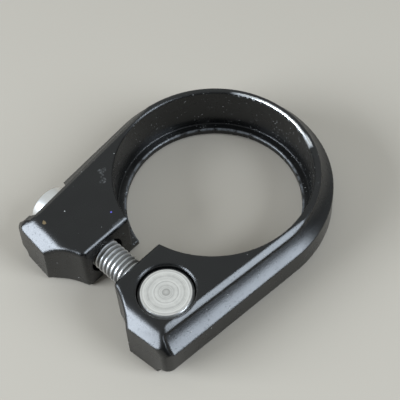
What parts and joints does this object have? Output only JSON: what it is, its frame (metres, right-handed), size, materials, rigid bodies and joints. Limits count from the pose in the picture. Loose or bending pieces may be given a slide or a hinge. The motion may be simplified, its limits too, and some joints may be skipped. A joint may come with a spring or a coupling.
{
  "type": "seatpost clamp",
  "caption": "Black split collar with an inner stop lip and a grooved outer band, its ears drawn together by a socket-head bolt in a swivelling barrel nut to grip a seat tube.",
  "frame": {"origin": "on the axis of the tube bore, in the plane of the bolt, halfway between the collar's two flat faces", "axes": "+Z along the tube bore, away from the stop lip; -Y towards the gap and the ears; the bolt lies along X, with its head at -X and its barrel nut at +X"},
  "size_m": [0.0386, 0.0475, 0.0096],
  "materials": {
    "collar_black": "satin black over forged aluminium, chipped along the bore's edge",
    "nut_steel": "bare turned ends with fine rings",
    "bolt_steel": "bright plated, grimy in the thread roots"
  },
  "bodies": {
    "collar": {"clamp_body": "collar_black"},
    "nut": {"barrel_nut": "nut_steel"},
    "bolt": {"clamp_bolt": "bolt_steel"}
  },
  "joints": [
    {"name": "nut_swivel", "type": "hinge", "parent": "collar", "child": "nut", "pos_m": [0.0099, -0.0205, 0], "axis": [0, 0, 1], "range_deg": [-0.8, 0.8]},
    {"name": "bolt_turn", "type": "hinge", "parent": "nut", "child": "bolt", "pos_m": [0.0099, -0.0205, 0], "axis": [1, 0, 0], "continuous": true}
  ]
}
